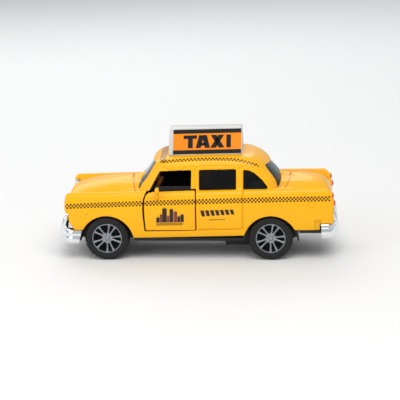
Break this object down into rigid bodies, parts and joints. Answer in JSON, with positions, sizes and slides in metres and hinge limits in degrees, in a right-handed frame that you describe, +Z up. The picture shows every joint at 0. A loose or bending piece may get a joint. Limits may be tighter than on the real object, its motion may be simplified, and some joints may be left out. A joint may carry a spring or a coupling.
{
  "type": "diecast toy car",
  "caption": "Pull-back diecast model of a classic four-door taxi saloon with opening front doors, rolling wheels, a chequered belt line and a lamp box on the roof.",
  "frame": {"origin": "on the ground under the centre of the bounding box", "axes": "+X to the front of the car, +Y to its left, +Z up"},
  "size_m": [0.1252, 0.0502, 0.0565],
  "materials": {
    "yellow_paint": "glossy taxi-yellow enamel on zinc",
    "clear_glazing": "clear moulded styrene",
    "clear_lens": "clear ribbed lens",
    "red_lens": "glossy translucent red",
    "bright_chrome": "vacuum-metallised plastic",
    "black_plastic": "satin black moulding",
    "ochre_plastic": "satin ochre moulding",
    "alloy_look": "silver-painted plastic",
    "tyre_rubber": "matt black rubber",
    "steel": "plain steel",
    "nylon": "natural nylon",
    "white_plastic": "white moulding",
    "sign_print": "printed orange label"
  },
  "bodies": {
    "car": {"body_screw_front": "steel", "body_screw_rear": "steel", "body_shell": "yellow_paint", "chassis": "black_plastic", "dashboard": "black_plastic", "front_axle_keeper": "black_plastic", "front_bumper": "bright_chrome", "front_grille": "bright_chrome", "front_seat": "ochre_plastic", "glazing": "clear_glazing", "headlamp_left": "clear_lens", "headlamp_right": "clear_lens", "idler_shaft": "steel", "interior_tub": "black_plastic", "mainspring": "steel", "motor_case_left": "black_plastic", "motor_case_right": "black_plastic", "rear_bumper": "bright_chrome", "sign_case": "white_plastic", "sign_panel_left": "sign_print", "sign_panel_right": "sign_print", "steering_wheel": "ochre_plastic", "tail_lamp_left": "red_lens", "tail_lamp_right": "red_lens"},
    "left_door_body": {"left_door": "yellow_paint", "left_mirror": "yellow_paint", "left_hinge_pin": "steel"},
    "right_door_body": {"right_door": "yellow_paint", "right_mirror": "yellow_paint", "right_hinge_pin": "steel"},
    "front_wheels": {"front_axle": "steel", "front_left_rim": "alloy_look", "front_right_rim": "alloy_look", "front_left_tyre": "tyre_rubber", "front_right_tyre": "tyre_rubber"},
    "rear_wheels": {"rear_axle": "steel", "rear_left_rim": "alloy_look", "rear_right_rim": "alloy_look", "rear_left_tyre": "tyre_rubber", "rear_right_tyre": "tyre_rubber", "axle_gear": "nylon"},
    "idler": {"idler_gear": "nylon"},
    "spring_arbor": {"spring_gear": "nylon"}
  },
  "joints": [
    {"name": "left_door_hinge", "type": "hinge", "parent": "car", "child": "left_door_body", "pos_m": [0.0207, 0.0196, 0.0204], "axis": [0, 0, -1], "range_deg": [0, 60]},
    {"name": "right_door_hinge", "type": "hinge", "parent": "car", "child": "right_door_body", "pos_m": [0.0207, -0.0196, 0.0204], "axis": [0, 0, 1], "range_deg": [0, 60]},
    {"name": "front_axle_spin", "type": "hinge", "parent": "car", "child": "front_wheels", "pos_m": [0.04035, 0, 0.0099], "axis": [0, 1, 0], "continuous": true},
    {"name": "rear_axle_spin", "type": "hinge", "parent": "car", "child": "rear_wheels", "pos_m": [-0.03215, 0, 0.0099], "axis": [0, 1, 0], "continuous": true},
    {"name": "idler_spin", "type": "hinge", "parent": "car", "child": "idler", "pos_m": [-0.02546, 0, 0.01392], "axis": [0, 1, 0], "continuous": true},
    {"name": "spring_gear_spin", "type": "hinge", "parent": "car", "child": "spring_arbor", "pos_m": [-0.0189, 0, 0.01013], "axis": [0, 1, 0], "continuous": true}
  ],
  "couplings": [
    {"joint": "idler_spin", "follows": "rear_axle_spin", "ratio": -0.41667},
    {"joint": "spring_gear_spin", "follows": "rear_axle_spin", "ratio": 0.15625}
  ]
}
